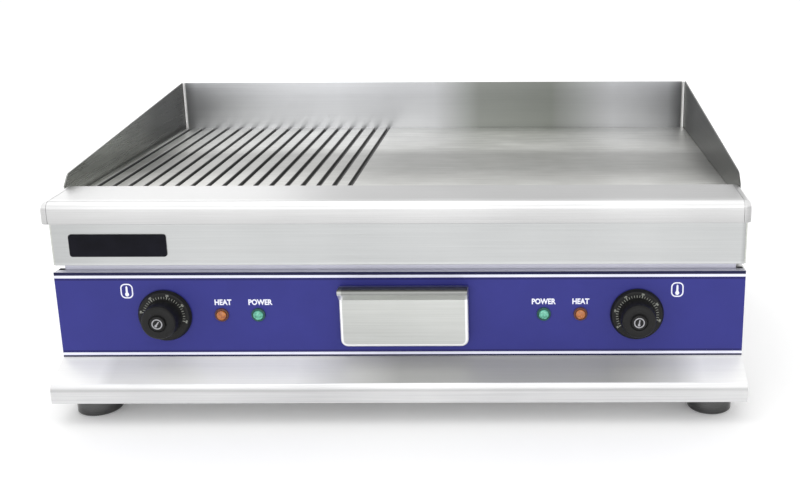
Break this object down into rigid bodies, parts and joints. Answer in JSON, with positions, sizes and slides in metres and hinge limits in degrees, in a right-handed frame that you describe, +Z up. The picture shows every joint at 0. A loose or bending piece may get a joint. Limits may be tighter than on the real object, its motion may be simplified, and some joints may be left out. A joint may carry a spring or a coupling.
{
  "type": "flat top griddle",
  "caption": "Countertop electric griddle: part ribbed, part smooth plate in a steel tray with splash guards, blue panel, two control knobs, grease drawer and round feet.",
  "frame": {"origin": "ground level under the middle of the overall box", "axes": "+Z up, the control panel faces -Y, +X to the right as seen from the front"},
  "size_m": [0.7348, 0.504, 0.289],
  "materials": {
    "stainless": "fine brushed grain with the seams dressed",
    "griddle_steel": "machined flat, slightly mottled",
    "badge_plastic": "gloss, blank",
    "insulation": "matte ceramic fibre",
    "element_sheath": "heat darkened alloy sheath",
    "zinc_fastener": "bright zinc plate",
    "blue_print": "satin printed film",
    "amber_lens": "gloss tinted lens",
    "green_lens": "gloss tinted lens",
    "copper_tube": "drawn copper",
    "terminal_plastic": "matte",
    "black_plastic": "fine textured",
    "brass": "plain turned",
    "foot_steel": "bright turned"
  },
  "bodies": {
    "chassis": {"griddle_plate": "griddle_steel", "plate_studs": "stainless", "back_splash": "stainless", "left_splash_guard": "stainless", "right_splash_guard": "stainless", "front_bullnose": "stainless", "grease_trough": "stainless", "drain_spout": "stainless", "front_fascia": "stainless", "name_badge": "badge_plastic", "neck_frame": "stainless", "heat_shield": "stainless", "insulation_pad": "insulation", "heating_element_left": "element_sheath", "heating_element_right": "element_sheath", "element_clamps": "stainless", "clamp_nuts": "zinc_fastener", "control_panel": "stainless", "panel_overlay": "blue_print", "heat_lamp_left": "amber_lens", "power_lamp_left": "green_lens", "power_lamp_right": "green_lens", "heat_lamp_right": "amber_lens", "thermostat_left": "zinc_fastener", "thermostat_right": "zinc_fastener", "thermostat_screws": "zinc_fastener", "capillary_left": "copper_tube", "capillary_right": "copper_tube", "left_side_panel": "stainless", "right_side_panel": "stainless", "rear_panel": "stainless", "base_tray": "stainless", "panel_screws": "zinc_fastener", "foot_weld_nuts": "zinc_fastener", "runner_left": "stainless", "runner_right": "stainless", "terminal_block": "terminal_plastic", "cable_gland": "black_plastic", "gland_locknut": "black_plastic", "equipotential_stud": "brass", "equipotential_nut": "brass"},
    "knob_assembly_left": {"knob_left": "black_plastic", "dial_left": "black_plastic", "knob_cap_left": "black_plastic", "shaft_left": "zinc_fastener"},
    "knob_assembly_right": {"knob_right": "black_plastic", "dial_right": "black_plastic", "knob_cap_right": "black_plastic", "shaft_right": "zinc_fastener"},
    "grease_drawer": {"drawer_front": "stainless", "drawer_handle": "stainless", "drawer_tray": "stainless"},
    "levelling_foot_front_left": {"foot_front_left": "foot_steel", "stud_front_left": "zinc_fastener"},
    "levelling_foot_front_right": {"foot_front_right": "foot_steel", "stud_front_right": "zinc_fastener"},
    "levelling_foot_rear_left": {"foot_rear_left": "foot_steel", "stud_rear_left": "zinc_fastener"},
    "levelling_foot_rear_right": {"foot_rear_right": "foot_steel", "stud_rear_right": "zinc_fastener"}
  },
  "joints": [
    {"name": "knob_left_turn", "type": "hinge", "parent": "chassis", "child": "knob_assembly_left", "pos_m": [-0.251, -0.2131, 0.109], "axis": [0, 1, 0], "range_deg": [0, 270]},
    {"name": "knob_right_turn", "type": "hinge", "parent": "chassis", "child": "knob_assembly_right", "pos_m": [0.251, -0.2131, 0.109], "axis": [0, 1, 0], "range_deg": [0, 270]},
    {"name": "drawer_slide", "type": "slide", "parent": "chassis", "child": "grease_drawer", "axis": [0, -1, 0], "range_m": [0, 0.28]},
    {"name": "foot_front_left_turn", "type": "hinge", "parent": "chassis", "child": "levelling_foot_front_left", "pos_m": [-0.333, -0.2085, 0], "axis": [0, 0, 1], "range_deg": [0, 360]},
    {"name": "foot_front_right_turn", "type": "hinge", "parent": "chassis", "child": "levelling_foot_front_right", "pos_m": [0.333, -0.2085, 0], "axis": [0, 0, 1], "range_deg": [0, 360]},
    {"name": "foot_rear_left_turn", "type": "hinge", "parent": "chassis", "child": "levelling_foot_rear_left", "pos_m": [-0.333, 0.191, 0], "axis": [0, 0, 1], "range_deg": [0, 360]},
    {"name": "foot_rear_right_turn", "type": "hinge", "parent": "chassis", "child": "levelling_foot_rear_right", "pos_m": [0.333, 0.191, 0], "axis": [0, 0, 1], "range_deg": [0, 360]}
  ]
}
